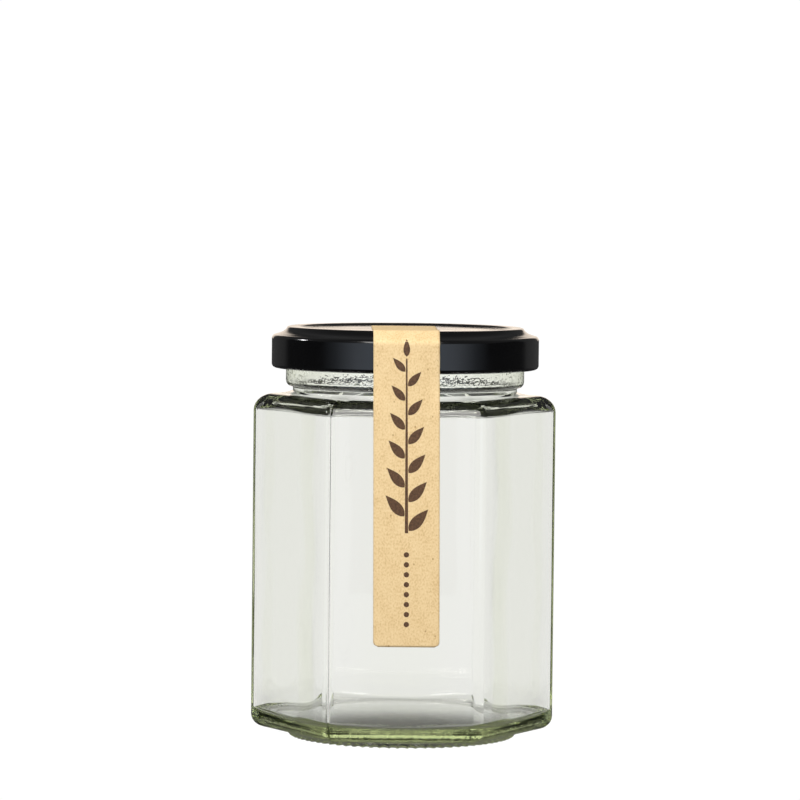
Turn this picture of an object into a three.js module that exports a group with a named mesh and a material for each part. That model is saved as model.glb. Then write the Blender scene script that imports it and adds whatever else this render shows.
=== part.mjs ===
// Hexagonal glass jar, shut with a black twist-off lid and sealed with a paper strip.
// Millimetres, +Z up. The origin is on the jar's axis, in the plane that the foot ring stands on.
// One flat face of the hexagon looks towards -Y, and two of its corners lie on the X axis.

import * as THREE from 'three';
import { mergeVertices } from 'three/addons/utils/BufferGeometryUtils.js';

// Jar body: a hexagonal tumbler with rounded edges
const FACE_DISTANCE = 32.69; // from the axis to each flat face
const OUTER_CORNER = 0.0765; // radius of the upright edges, as a share of the face distance
const INNER_CORNER = 0.08; // the same for the inside
const WALL = 1.3; // at the upright edges
const FACE_SWELL = 0.7; // how much thicker the middle of a flat face is
const WALL_FOOT = 4.9; // where the flat faces start
const WALL_HEAD = 80.3; // where the flat faces end and the shoulder starts

// Foot, heel and floor
const FOOT_RADIUS = 28.16;
const FOOT_WIDTH = 3.4;
const FOOT_EDGE = 0.45;
const HEEL_LIFT = 1.3; // underside of the heel where it meets the foot ring
const HEEL_DROP = 1.7; // the same, where the heel starts to curve up
const HEEL_REACH = 3.2;
const PUSH_UP = 3.4; // hollow under the floor, at the axis
const PUSH_UP_EDGE = 1.0; // the same, beside the foot ring
const FLOOR_EDGE = 5.0;
const FLOOR_MIDDLE = 6.4;
const FLOOR_CURVE_WIDTH = 2.4;
const FLOOR_CURVE_HEIGHT = 1.6;
const FLOOR_HEXNESS = 0.15; // the floor's outline lies between a circle and the hexagon

// Shoulder, neck and rim
const SHOULDER_REACH = 4.4;
const SHOULDER_HEAD = 84.5;
const NECK_RADIUS = 27.7;
const NECK_FOOT = 85.3;
const NECK_HEAD = 86.5;
const BEAD_RADIUS = 29.44; // the ring of glass that shows just below the lid
const BEAD_EDGE = 1.2; // width and height of its rounded underside
const BEAD_CURVE = 1.5;
const BEAD_HEAD = 91.4;
const FINISH_FOOT = 92.0;
const FINISH_RADIUS = 28.9; // the glass that the lid hides
const RIM_TOP = 99.85;
const RIM_EDGE = 1.0;
const MOUTH_RADIUS = 25.2;
const INNER_WALL_HEAD = 80.4;
const INNER_SHOULDER_REACH = 3.2;
const INNER_SHOULDER_HEAD = 81.9;
const INNER_NECK_FOOT = 84.2;

// Lid: a drawn tin cap with a raised ring round its panel, a sloping edge and a curled hem
const LID_RADIUS = 33.0;
const LID_TOP = 101.2;
const LID_RING_OUTER = 29.2;
const LID_RING_INNER = 26.4;
const LID_RING_EDGE = 0.4;
const LID_RING_FLANK = 0.8; // slope from the ring down to the panel
const LID_PANEL_TOP = 100.7;
const LID_PANEL_UNDERSIDE = 100.15; // holds the seal, so it is one flat face
const LID_STEP_RADIUS = 31.0; // foot of the sloping edge
const LID_STEP = 99.55;
const LID_SLOPE_SAG = 0.5; // the sloping edge is hollow by about half of this
const LID_BROW_RADIUS = 32.0; // where the skirt's corner starts
const SKIRT_HEAD = 98.2;
const SKIRT_FOOT = 92.0; // the curled hem is a solid ring round this height
const HEM_INNER = 31.0;
const HEM_FILLET = 0.2;
const LID_SHEET = 0.7;

// Paper strip: stuck to the lid's panel, over its edge and down the front face
const STRIP_WIDTH = 15.95;
const STRIP_PAPER = 0.25;
const STRIP_GAP = 0.3; // clear of the lid and the glass
const STRIP_BOTTOM = 25.3;
const STRIP_BACK_END = 14; // how far past the axis it reaches on the panel
const STRIP_OFFSET = 0.62; // its middle lies this far to the right, at its lower end
const STRIP_LEAN = -0.0087; // sideways drift for each millimetre up the strip
const STRIP_CORNER = 1.2;
const STRIP_FREE_FOOT = 79; // it hangs free between the front face and the skirt
const STRIP_STEP_RUN = 3; // run over which it comes down from the lid's ring to the panel

// Faceting
const SIDES = 6;
const CORNER_STEPS = 4;
const FACE_STEPS = 6;
const CURVE_STEPS = 4;
const LID_SEGMENTS = 60;
const STRIP_COLUMNS = 6;
const HEM_STEPS = 9;
const END_SHARES = [0, 0.35, 1]; // rows across the strip's rounded ends

const QUARTER = Math.PI / 2;
const SIDE_ANGLE = (2 * Math.PI) / SIDES;
const SECTION_STEPS = SIDES * (CORNER_STEPS + FACE_STEPS);

// Point at an angle about the axis and a distance from it.
function polar(angle, distance) {
  return new THREE.Vector2(Math.cos(angle), Math.sin(angle)).multiplyScalar(distance);
}

// Outline of a hexagon one unit from axis to face, its corners rounded to the given radius.
// It starts at the corner on +X, and each side adds one corner arc and one face. The middle of a
// face can swell towards the axis.
function hexagonOutline(corner, swell = 0) {
  const cornerDistance = (1 - corner) / Math.cos(SIDE_ANGLE / 2);
  const points = [];
  for (let side = 0; side < SIDES; side += 1) {
    const middle = side * SIDE_ANGLE;
    const centre = polar(middle, cornerDistance);
    const nextCentre = polar(middle + SIDE_ANGLE, cornerDistance);
    for (let step = 0; step < CORNER_STEPS; step += 1) {
      const angle = middle + SIDE_ANGLE * (step / CORNER_STEPS - 0.5);
      points.push(polar(angle, corner).add(centre));
    }
    for (let step = 0; step < FACE_STEPS; step += 1) {
      const share = step / FACE_STEPS;
      const inward = (swell * (1 - Math.cos(2 * Math.PI * share))) / 2;
      const outward = polar(middle + SIDE_ANGLE / 2, corner - inward);
      points.push(centre.clone().lerp(nextCentre, share).add(outward));
    }
  }
  return points;
}

const OUTER_HEXAGON = hexagonOutline(OUTER_CORNER);
const INNER_HEXAGON = hexagonOutline(INNER_CORNER, FACE_SWELL / (FACE_DISTANCE - WALL));
const CIRCLE = OUTER_HEXAGON.map((point) => point.clone().normalize());

// A station of the glass: distance from the axis, height, and how hexagonal the section is there.
function station(radius, height, hexness, hexagon = OUTER_HEXAGON) {
  return { radius, height, hexness, hexagon };
}

// Stations along a quarter of an ellipse, both ends included. It turns from start, where the wall
// is upright, to end, where it is level.
function quarterCurve(start, end) {
  const stations = [];
  for (let step = 0; step <= CURVE_STEPS; step += 1) {
    const angle = (QUARTER * step) / CURVE_STEPS;
    const radius = end.radius + (start.radius - end.radius) * Math.cos(angle);
    const height = start.height + (end.height - start.height) * Math.sin(angle);
    const hexness = start.hexness + (end.hexness - start.hexness) * (step / CURVE_STEPS);
    stations.push(station(radius, height, hexness, start.hexagon));
  }
  return stations;
}

// Stations of the glass from the axis under the floor, up the outside and down the inside.
function glassStations() {
  const wallInside = FACE_DISTANCE - WALL;
  const footInner = FOOT_RADIUS - FOOT_WIDTH;
  const hollowEdge = footInner - FOOT_EDGE;
  const hollow = [0, 0.5, 0.8, 1].map((share) => {
    const height = PUSH_UP_EDGE + (PUSH_UP - PUSH_UP_EDGE) * (1 - share ** 2);
    return station(hollowEdge * share, height, 0);
  });
  const foot = [
    station(footInner, 0, 0),
    station(FOOT_RADIUS - FOOT_EDGE, 0, 0),
    station(FOOT_RADIUS, FOOT_EDGE, 0),
    station(FOOT_RADIUS, HEEL_LIFT, 0),
  ];
  const heel = quarterCurve(
    station(FACE_DISTANCE, WALL_FOOT, 1),
    station(FACE_DISTANCE - HEEL_REACH, HEEL_DROP, 1),
  ).reverse();
  const shoulder = quarterCurve(
    station(FACE_DISTANCE, WALL_HEAD, 1),
    station(FACE_DISTANCE - SHOULDER_REACH, SHOULDER_HEAD, 1),
  );
  const neck = quarterCurve(
    station(NECK_RADIUS, NECK_FOOT, 0),
    station(FACE_DISTANCE - SHOULDER_REACH, SHOULDER_HEAD, 1),
  ).reverse();
  const bead = quarterCurve(
    station(BEAD_RADIUS, NECK_HEAD + BEAD_CURVE, 0),
    station(BEAD_RADIUS - BEAD_EDGE, NECK_HEAD, 0),
  ).reverse();
  const finish = [
    station(BEAD_RADIUS, BEAD_HEAD, 0),
    station(FINISH_RADIUS, FINISH_FOOT, 0),
  ];
  const rimOutside = quarterCurve(
    station(FINISH_RADIUS, RIM_TOP - RIM_EDGE, 0),
    station(FINISH_RADIUS - RIM_EDGE, RIM_TOP, 0),
  );
  const rimInside = quarterCurve(
    station(MOUTH_RADIUS, RIM_TOP - RIM_EDGE, 0),
    station(MOUTH_RADIUS + RIM_EDGE, RIM_TOP, 0),
  ).reverse();
  const mouth = quarterCurve(
    station(MOUTH_RADIUS, INNER_NECK_FOOT, 0, INNER_HEXAGON),
    station(wallInside - INNER_SHOULDER_REACH, INNER_SHOULDER_HEAD, 1, INNER_HEXAGON),
  );
  const innerShoulder = quarterCurve(
    station(wallInside, INNER_WALL_HEAD, 1, INNER_HEXAGON),
    station(wallInside - INNER_SHOULDER_REACH, INNER_SHOULDER_HEAD, 1, INNER_HEXAGON),
  ).reverse();
  const floorRadius = wallInside - FLOOR_CURVE_WIDTH;
  const floorCurve = quarterCurve(
    station(wallInside, FLOOR_EDGE + FLOOR_CURVE_HEIGHT, 1, INNER_HEXAGON),
    station(floorRadius, FLOOR_EDGE, FLOOR_HEXNESS, INNER_HEXAGON),
  );
  const floor = [0.6, 0].map((share) => {
    const height = FLOOR_MIDDLE + (FLOOR_EDGE - FLOOR_MIDDLE) * share ** 2;
    return station(floorRadius * share, height, FLOOR_HEXNESS * share, INNER_HEXAGON);
  });
  return [
    ...hollow,
    ...foot,
    ...heel,
    ...shoulder,
    ...neck.slice(1),
    station(NECK_RADIUS, NECK_HEAD, 0),
    ...bead,
    ...finish,
    ...rimOutside,
    ...rimInside,
    ...mouth,
    ...innerShoulder.slice(1),
    ...floorCurve,
    ...floor,
  ];
}

// Merges the shared vertices of a geometry, so that its faces close on each other.
function closed(geometry) {
  geometry.deleteAttribute('normal');
  geometry.deleteAttribute('uv');
  const merged = mergeVertices(geometry, 1e-4);
  merged.computeVertexNormals();
  return merged;
}

// The jar is turned as a lathe shape, and each of its sections is then pushed towards the hexagon.
function makeGlass() {
  const stations = glassStations();
  const profile = stations.map(({ radius, height }) => new THREE.Vector2(radius, height));
  const geometry = new THREE.LatheGeometry(profile, SECTION_STEPS);
  const position = geometry.getAttribute('position');
  for (let index = 0; index < position.count; index += 1) {
    const { radius, height, hexness, hexagon } = stations[index % stations.length];
    const turn = Math.floor(index / stations.length) % SECTION_STEPS;
    const point = CIRCLE[turn].clone().lerp(hexagon[turn], hexness).multiplyScalar(radius);
    position.setXYZ(index, point.x, point.y, height);
  }
  return closed(geometry);
}

// Points of an arc in the lid's profile, both ends included.
function arc(centreRadius, centreHeight, size, from, to, steps = CURVE_STEPS) {
  const points = [];
  for (let step = 0; step <= steps; step += 1) {
    const angle = from + ((to - from) * step) / steps;
    const x = centreRadius + size * Math.cos(angle);
    const y = centreHeight + size * Math.sin(angle);
    points.push(new THREE.Vector2(x, y));
  }
  return points;
}

// Outside of the lid, from the raised ring down to the foot of the skirt.
function lidOutside() {
  const corner = LID_RADIUS - LID_BROW_RADIUS;
  const slopeHead = new THREE.Vector2(LID_RING_OUTER, LID_TOP - LID_RING_EDGE / 2);
  const slopeFoot = new THREE.Vector2(LID_STEP_RADIUS, LID_STEP);
  const slopeSag = slopeHead.clone().lerp(slopeFoot, 0.5).subScalar(LID_SLOPE_SAG * Math.SQRT1_2);
  return [
    new THREE.Vector2(LID_RING_INNER - LID_RING_FLANK, LID_PANEL_TOP),
    new THREE.Vector2(LID_RING_INNER, LID_TOP),
    new THREE.Vector2(LID_RING_OUTER - LID_RING_EDGE, LID_TOP),
    ...new THREE.QuadraticBezierCurve(slopeHead, slopeSag, slopeFoot).getPoints(CURVE_STEPS),
    ...arc(LID_BROW_RADIUS, SKIRT_HEAD, corner, QUARTER, 0),
    new THREE.Vector2(LID_RADIUS, SKIRT_FOOT),
  ];
}

// A closed turned profile: over the panel and the skirt, round the hem and back under the panel.
function makeLid() {
  const hemSize = (LID_RADIUS - HEM_INNER) / 2;
  const hem = arc(LID_RADIUS - hemSize, SKIRT_FOOT, hemSize, 0, -1.5 * Math.PI, HEM_STEPS).slice(1);
  const profile = [
    new THREE.Vector2(0, LID_PANEL_TOP),
    ...lidOutside(),
    ...hem,
    new THREE.Vector2(LID_RADIUS - LID_SHEET, SKIRT_FOOT + hemSize + HEM_FILLET),
    new THREE.Vector2(LID_RADIUS - LID_SHEET, SKIRT_HEAD),
    new THREE.Vector2(LID_STEP_RADIUS - LID_SHEET, LID_STEP - LID_SHEET),
    new THREE.Vector2(LID_RING_OUTER, LID_PANEL_UNDERSIDE),
    new THREE.Vector2(0, LID_PANEL_UNDERSIDE),
  ];
  const geometry = new THREE.LatheGeometry(profile.reverse(), LID_SEGMENTS);
  geometry.rotateX(QUARTER);
  return closed(geometry);
}

// Path of the strip, from its lower end to its end on the panel. Each point gives the distance in
// front of the axis, the height, and how far the paper is flat there rather than bent round the lid.
function stripPath() {
  const path = END_SHARES.map((share) => ({
    front: FACE_DISTANCE,
    height: STRIP_BOTTOM + share * STRIP_CORNER,
    flat: 1,
  }));
  path.push({ front: FACE_DISTANCE, height: (STRIP_BOTTOM + STRIP_FREE_FOOT) / 2, flat: 1 });
  for (let step = 0; step <= CURVE_STEPS; step += 1) {
    const share = step / CURVE_STEPS;
    path.push({
      front: FACE_DISTANCE + (LID_RADIUS - FACE_DISTANCE) * share,
      height: STRIP_FREE_FOOT + (SKIRT_FOOT - STRIP_FREE_FOOT) * share,
      flat: 1 - THREE.MathUtils.smoothstep(share, 0, 1),
    });
  }
  const corner = LID_RADIUS - LID_BROW_RADIUS;
  for (const { x, y } of arc(LID_BROW_RADIUS, SKIRT_HEAD, corner, 0, QUARTER / 2, CURVE_STEPS - 1)) {
    path.push({ front: x, height: y, flat: 0 });
  }
  path.push({ front: LID_RING_OUTER, height: LID_TOP - LID_RING_EDGE / 2, flat: 0 });
  path.push({ front: LID_RING_OUTER - LID_RING_EDGE, height: LID_TOP, flat: 0 });
  path.push({ front: LID_RING_INNER, height: LID_TOP, flat: 0.3 });
  path.push({ front: LID_RING_INNER - STRIP_STEP_RUN, height: LID_PANEL_TOP, flat: 0.6 });
  path.push({ front: LID_RING_INNER / 2, height: LID_PANEL_TOP, flat: 1 });
  for (const share of END_SHARES.toReversed()) {
    path.push({ front: share * STRIP_CORNER - STRIP_BACK_END, height: LID_PANEL_TOP, flat: 1 });
  }
  return path;
}

// Length along the path up to each of its points.
function pathLengths(path) {
  const lengths = [0];
  for (let index = 1; index < path.length; index += 1) {
    const { front, height } = path[index - 1];
    lengths.push(lengths[index - 1] + Math.hypot(path[index].front - front, path[index].height - height));
  }
  return lengths;
}

// Unit normal of the path at a point, away from the lid and the glass.
function pathNormal(path, index) {
  const before = path[Math.max(index - 1, 0)];
  const after = path[Math.min(index + 1, path.length - 1)];
  return new THREE.Vector2(after.height - before.height, before.front - after.front).normalize();
}

// A thin box is laid along the path: its length follows the path, and its width bends round the lid.
function makeStrip() {
  const path = stripPath();
  const lengths = pathLengths(path);
  const total = lengths[lengths.length - 1];
  const rows = path.length - 1;
  const geometry = closed(new THREE.BoxGeometry(1, rows, 1, STRIP_COLUMNS, rows, 1));
  const position = geometry.getAttribute('position');
  for (let index = 0; index < position.count; index += 1) {
    const row = Math.round(position.getY(index) + rows / 2);
    const { front, height, flat } = path[row];
    const fromEnd = Math.min(lengths[row], total - lengths[row], STRIP_CORNER);
    const rounding = STRIP_CORNER - Math.sqrt(STRIP_CORNER ** 2 - (STRIP_CORNER - fromEnd) ** 2);
    const across = position.getX(index) * (STRIP_WIDTH - 2 * rounding);
    const x = across + STRIP_OFFSET + STRIP_LEAN * lengths[row];
    const lift = position.getZ(index) > 0 ? STRIP_GAP + STRIP_PAPER : STRIP_GAP;
    const normal = pathNormal(path, row).multiplyScalar(lift);
    const bend = front > Math.abs(x) ? front - Math.sqrt(front ** 2 - x ** 2) : 0;
    position.setXYZ(index, x, -(front + normal.x - bend * (1 - flat)), height + normal.y);
  }
  geometry.computeVertexNormals();
  return geometry;
}

function piece(name, geometry, colour, roughness, metalness) {
  const material = new THREE.MeshStandardMaterial({ color: colour, roughness, metalness });
  const mesh = new THREE.Mesh(geometry, material);
  mesh.name = name;
  return mesh;
}

const glass = piece('jar_glass', makeGlass(), 0xdfe5d8, 0.05, 0);
glass.material.transparent = true;
glass.material.opacity = 0.35;

const jar = new THREE.Group();
jar.add(glass);
jar.add(piece('lid', makeLid(), 0x141518, 0.18, 0));
jar.add(piece('paper_strip', makeStrip(), 0xe6c896, 0.85, 0));

export default jar;
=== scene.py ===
"""Looks of a hexagonal glass jar, shut with a black twist-off lid and sealed with a paper strip.

The CAD frame gives the sizes. Each piece here is a finer mesh of its CAD node, with its material.
Lengths are metres, +Z is up, and the face with the strip looks towards -Y.
"""

import math

import bpy
import numpy as np
from mathutils import Matrix, Vector


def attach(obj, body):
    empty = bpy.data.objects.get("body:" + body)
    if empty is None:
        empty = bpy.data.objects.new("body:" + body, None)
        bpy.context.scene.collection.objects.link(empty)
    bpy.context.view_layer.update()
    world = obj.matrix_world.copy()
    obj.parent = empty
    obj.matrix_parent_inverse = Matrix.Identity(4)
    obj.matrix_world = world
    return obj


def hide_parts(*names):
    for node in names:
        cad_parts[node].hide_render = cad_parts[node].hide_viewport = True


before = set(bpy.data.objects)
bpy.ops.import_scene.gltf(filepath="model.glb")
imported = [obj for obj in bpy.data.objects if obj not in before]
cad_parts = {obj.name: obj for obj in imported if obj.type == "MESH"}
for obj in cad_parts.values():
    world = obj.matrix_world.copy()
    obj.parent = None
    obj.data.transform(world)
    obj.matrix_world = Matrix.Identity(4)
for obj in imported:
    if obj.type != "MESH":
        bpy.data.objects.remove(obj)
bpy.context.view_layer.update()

bl_info = {
    "name": "Hexagonal Glass Jar",
    "version": (1, 0, 0),
    "blender": (4, 5, 0),
    "location": "View3D > Sidebar > Jar",
    "description": "Builds the looks of a hexagonal glass jar on its CAD frame",
    "category": "Add Mesh",
}

MM = 0.001
BODY = "root"
SIDES = 6
SIDE_ANGLE = math.tau / SIDES

# Steps of the glass mesh round a corner, along a face and along a curve of the profile
CORNER_STEPS = 14
FACE_STEPS = 46
CURVE_STEPS = 10
WALL_STEPS = 20

# Points closer than this are one point
SAME_POINT = 0.001 * MM

# A long run of a profile gets an extra station this close to its ends where the profile bends there.
# The smallest bend that counts is given as a sine.
EDGE_HOLD = 0.1 * MM
LONG_RUN = 4 * EDGE_HOLD
SMALLEST_BEND = 0.005

# The mould's seam stands on the left corner of the front face, from one step of the corner to another
SEAM_CORNER = 4
SEAM_START = 8
SEAM_END = 12

# Slow waves of the inner wall: how many go round the jar, their rise, their share of the height and phase
WAVES = ((3, 1.0, 1.0, 0), (7, -1.6, 0.7, 1), (13, 2.3, 0.5, 2))
WAVE_PITCH = 14 * MM
WAVE_FOOT = 12 * MM
WAVE_HEAD = 74 * MM
WAVE_FADE = 10 * MM

# Heel, foot and floor of the glass
WALL_FOOT = 4.9 * MM
HEEL_LIFT = 1.3 * MM
HEEL_DROP = 1.7 * MM
HEEL_REACH = 3.2 * MM
FOOT_WIDTH = 3.4 * MM
FOOT_EDGE = 0.45 * MM
FOOT_ROUNDING = 0.5 * MM
KNURL_REACH = 2.0 * MM
KNURL_HEAD = 1.2 * MM
KNURL_FOOT = 0.2 * MM
KNURL_CREST = 0.8  # a bump's top is where the wave round the ring stands higher than this
PUSH_UP = 3.4 * MM
PUSH_UP_EDGE = 1.0 * MM
FLOOR_EDGE = 5.0 * MM
FLOOR_MIDDLE = 6.4 * MM
FLOOR_CURVE_WIDTH = 2.4 * MM
FLOOR_CURVE_HEIGHT = 1.6 * MM
FLOOR_HEXNESS = 0.15
HOLLOW_RINGS = np.linspace(0.12, 0.94, 8)  # as shares of the hollow's radius
FLOOR_RINGS = np.linspace(0.92, 0.1, 9)  # as shares of the floor's radius

# Shoulder, neck, bead and rim of the glass
SHOULDER_REACH = 4.4 * MM
SHOULDER_HEAD = 84.5 * MM
NECK_FOOT = 85.3 * MM
NECK_HEAD = 86.5 * MM
BEAD_EDGE = 1.2 * MM
BEAD_CURVE = 1.5 * MM
BEAD_HEAD = 91.4 * MM
BEAD_ROUNDING = 0.4 * MM
FINISH_FOOT = 92.0 * MM
FINISH_RADIUS = 28.9 * MM
RIM_TOP = 99.85 * MM
RIM_EDGE = 1.0 * MM
INNER_WALL_HEAD = 80.4 * MM
INNER_SHOULDER_HEAD = 81.9 * MM
INNER_SHOULDER_REACH = 3.2 * MM
INNER_NECK_FOOT = 84.2 * MM

# Lid
LID_SEGMENTS = 288
LID_RING_OUTER = 29.2 * MM
LID_RING_INNER = 26.4 * MM
LID_RING_EDGE = 0.4 * MM
LID_RING_FLANK = 0.8 * MM
LID_PANEL_DROP = 0.5 * MM
LID_PANEL_THICKNESS = 1.2 * MM  # with the sealing compound under it, which the glass rim is pressed into
LID_STEP_RADIUS = 31.0 * MM
LID_STEP_DROP = 1.65 * MM
LID_SLOPE_SAG = 0.5 * MM
LID_CORNER = 1.0 * MM
SKIRT_HEAD = 98.2 * MM
SKIRT_FOOT = 92.0 * MM
HEM_SIZE = 1.0 * MM
LID_SHEET = 0.7 * MM
LID_MIDDLE = 2 * MM
LID_FLAT = 4 * MM
LID_UNDER_ROUNDING = 0.4 * MM
LID_STEP_ROUNDING = 0.3 * MM
LID_RING_ROUNDING = 0.35 * MM

# Paper strip
STRIP_GAP = 0.05 * MM
STRIP_PAPER = 0.2 * MM
STRIP_CORNER = 1.2 * MM
STRIP_FREE_FOOT = 79.0 * MM
STRIP_STEP_RUN = 3.0 * MM
STRIP_ROW = 0.5 * MM
STRIP_COLUMNS = 32
STRIP_ROUNDING = 0.8 * MM
INK_GAP = 0.005 * MM

# Leaf print: how low a leaf is widest, the size of the last leaf and the width of the stem's tip
LEAF_BELLY = 0.75
LAST_LEAF = 0.6
STEM_TIP = 0.45

# Camera, worked out from the lid, the upright edges and the foot ring in the photo
CAMERA_DISTANCE = 1.08365
CAMERA_HEIGHT = 0.1411
CAMERA_YAW = 0.01047
CAMERA_HEADING = 0.00937
CAMERA_PITCH = 0.05349
CAMERA_ROLL = 0.0103

# Light of the studio, as linear colours. The camera sees the floor and the backdrop plain white. Light
# through the glass, and light mirrored by the jar, finds the cards and flags that stand round it.
WHITE = (1.02, 1.02, 1.02)
CARD = (1.0, 1.15, 1.35)
FRONT_DIM = (0.22, 0.22, 0.22)
SIDE_DIM = (0.3, 0.3, 0.29)
TOP_DIM = (0.12, 0.12, 0.12)
FLOOR_PALE = (0.9, 0.9, 0.89)
# Painted shade: the glowing floor is darkened where the jar stands, for light through the glass
FLOOR_PAINTED_SHADE = (0.14, 0.14, 0.13)
# Painted dark reflection: the floor near the jar as light mirrored by the jar finds it
FLOOR_PAINTED_DARK_REFLECTION = (0.05, 0.05, 0.05)
BACKDROP_MIRROR = (1.37, 1.18, 1.0)

# Colours round the jar, each at its angle in degrees from the front, the same on both sides
SEEN_THROUGH = (
    (22, FRONT_DIM), (32, CARD), (74, CARD), (90, SIDE_DIM), (138, SIDE_DIM), (160, WHITE),
)
SEEN_MIRRORED = (
    (18, FRONT_DIM), (28, CARD), (42, (0.9, 1.0, 1.15)), (62, (0.25, 0.28, 0.32)), (76, (0.03, 0.03, 0.03)),
    (120, (0.03, 0.03, 0.03)), (128, (0.14, 0.14, 0.14)), (150, (0.1, 0.1, 0.1)), (170, (0.05, 0.05, 0.05)),
)

# Floor: its size, and how far from the jar's axis its painted shade and its painted dark reflection fade out
FLOOR_RADIUS = 6.0
FLOOR_CORNERS = 96
PAINTED_SHADE_REACH = (0.027, 0.045)
MIRROR_REACH = (0.3, 0.7)

# Heights and edges of the studio's walls, as parts of a direction of length one
BACKDROP_EDGE = (0.93, 0.97)
WALL_HEIGHT = 0.2
BACKDROP_MIRROR_HEIGHT = 0.5
WALL_TURN = (-0.2, 0.4)
TOP_EDGE = (-0.08, 0.08)

# Softboxes: a large one above the camera, and a small one whose spark shows on the lid
KEY_PLACE = (-0.1, -1.15, 1.05)
KEY_TARGET = (0, 0, 0.06)
KEY_SIZE = (1.6, 1.1)
KEY_TONE = (1.0, 0.98, 0.95)
SPARK_PLACE = (-1.0, 0.25, 0.52)
SPARK_TARGET = (0, 0, 0.09)
SPARK_SIZE = (0.12, 0.12)
SPARK_TONE = (1.0, 1.0, 1.0)
SPARK_POWER = 3.0


def linear(hex_colour):
    """Linear red, green and blue of an sRGB hex colour."""
    values = [int(hex_colour[start:start + 2], 16) / 255 for start in (1, 3, 5)]
    return tuple(v / 12.92 if v <= 0.04045 else ((v + 0.055) / 1.055) ** 2.4 for v in values)


def length(name, description, millimetres):
    """A length property, given in millimetres and held in metres."""
    return bpy.props.FloatProperty(
        name=name, description=description, default=millimetres * MM, min=0,
        unit="LENGTH", subtype="DISTANCE", precision=5,
    )


def colour(name, description, hex_colour):
    """A colour property, given as an sRGB hex value."""
    return bpy.props.FloatVectorProperty(
        name=name, description=description, default=linear(hex_colour), min=0, max=1, subtype="COLOR",
    )


class JarGlassSettings(bpy.types.PropertyGroup):
    """Sizes and tint of the glass"""

    face_distance: length("Face distance", "From the axis to each flat face", 32.69)
    wall: length("Wall", "Thickness of the wall at the upright edges", 1.3)
    face_swell: length("Face swell", "How much thicker the middle of a flat face is", 0.7)
    wall_head: length("Wall head", "Height at which the flat faces end", 80.3)
    foot_radius: length("Foot radius", "Radius of the foot ring", 28.16)
    neck_radius: length("Neck radius", "Radius of the neck above the shoulder", 27.7)
    bead_radius: length("Bead radius", "Radius of the ring of glass below the lid", 29.44)
    mouth_radius: length("Mouth radius", "Radius of the mouth inside", 25.2)
    outer_corner: bpy.props.FloatProperty(
        name="Outer corner", description="Radius of the upright edges as a share of the face distance",
        default=0.0765, min=0.02, max=0.5, subtype="FACTOR",
    )
    inner_corner: bpy.props.FloatProperty(
        name="Inner corner", description="The same for the inside of the wall",
        default=0.08, min=0.02, max=0.5, subtype="FACTOR",
    )
    wave: length("Wave", "Height of the slow waves on the inside of the wall", 0.05)
    seam: length("Seam", "Height of the mould's seam on the left corner of the front face", 0.45)
    knurl_count: bpy.props.IntProperty(
        name="Knurls", description="Bumps round the edge of the foot ring", default=78, min=12, max=120,
    )
    knurl_depth: length("Knurl depth", "Depth of the notches between the bumps", 0.6)
    tint: colour("Tint", "Colour that light takes on in the glass", "#ecf1d3")
    tint_density: bpy.props.FloatProperty(
        name="Tint density", description="How fast the glass takes up light, for each metre",
        default=50, min=0,
    )


class JarLidSettings(bpy.types.PropertyGroup):
    """Sizes and colour of the lid"""

    radius: length("Radius", "Outer radius of the skirt", 33.0)
    top: length("Top", "Height of the raised ring", 101.2)
    lacquer: colour("Lacquer", "Colour of the lid's lacquer", "#050506")


class JarStripSettings(bpy.types.PropertyGroup):
    """Sizes and colours of the paper strip and its print"""

    width: length("Width", "Width of the strip", 15.95)
    bottom: length("Bottom", "Height of its lower end", 25.3)
    back_end: length("Back end", "How far past the axis it reaches on the lid", 14.0)
    offset: length("Offset", "How far to the right its lower end lies", 0.62)
    lean: bpy.props.FloatProperty(
        name="Lean", description="Sideways drift for each metre up the strip", default=-0.0087,
    )
    paper: colour("Paper", "Colour of the paper", "#e7ca98")
    fibre: colour("Fibre", "Colour of the darker fibres in it", "#cfae78")
    ink: colour("Ink", "Colour of the print", "#4a3322")
    ink_depth: length("Ink depth", "Thickness of the print", 0.02)
    stem_foot: length("Stem foot", "From the strip's lower end to the foot of the sprig", 27.5)
    stem_length: length("Stem length", "Length of the sprig's stem", 42.0)
    stem_width: length("Stem width", "Width of the stem at its foot", 0.8)
    leaf_count: bpy.props.IntProperty(
        name="Leaves", description="Leaves on the sprig", default=13, min=1, max=40,
    )
    leaf_length: length("Leaf length", "Length of the largest leaf", 7.0)
    leaf_width: length("Leaf width", "Width of the largest leaf", 2.7)
    leaf_lean: bpy.props.FloatProperty(
        name="Leaf lean", description="Angle between a leaf and the stem",
        default=math.radians(42), subtype="ANGLE",
    )
    dot_count: bpy.props.IntProperty(
        name="Dots", description="Dots below the sprig", default=8, min=0, max=30,
    )
    dot_size: length("Dot size", "Width of a dot", 1.3)
    dot_foot: length("Dot foot", "From the strip's lower end to the lowest dot", 5.5)
    dot_pitch: length("Dot pitch", "From one dot to the next", 2.4)


class JarStageSettings(bpy.types.PropertyGroup):
    """Camera and light"""

    lens: bpy.props.FloatProperty(
        name="Lens", description="Focal length of the camera", default=197.43, min=1, unit="CAMERA",
    )
    key_power: bpy.props.FloatProperty(
        name="Key power", description="Power of the softbox above the camera",
        default=34, min=0, unit="POWER",
    )


def add_node(tree, kind, inputs=None, **settings):
    """Adds a node with its settings. Each input is a value, a socket to link, or a node's first output."""
    node = tree.nodes.new(kind)
    for name, value in settings.items():
        setattr(node, name, value)
    for socket, value in (inputs or {}).items():
        if isinstance(value, bpy.types.Node):
            value = value.outputs[0]
        if isinstance(value, bpy.types.NodeSocket):
            tree.links.new(value, node.inputs[socket])
        else:
            node.inputs[socket].default_value = value
    return node


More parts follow.
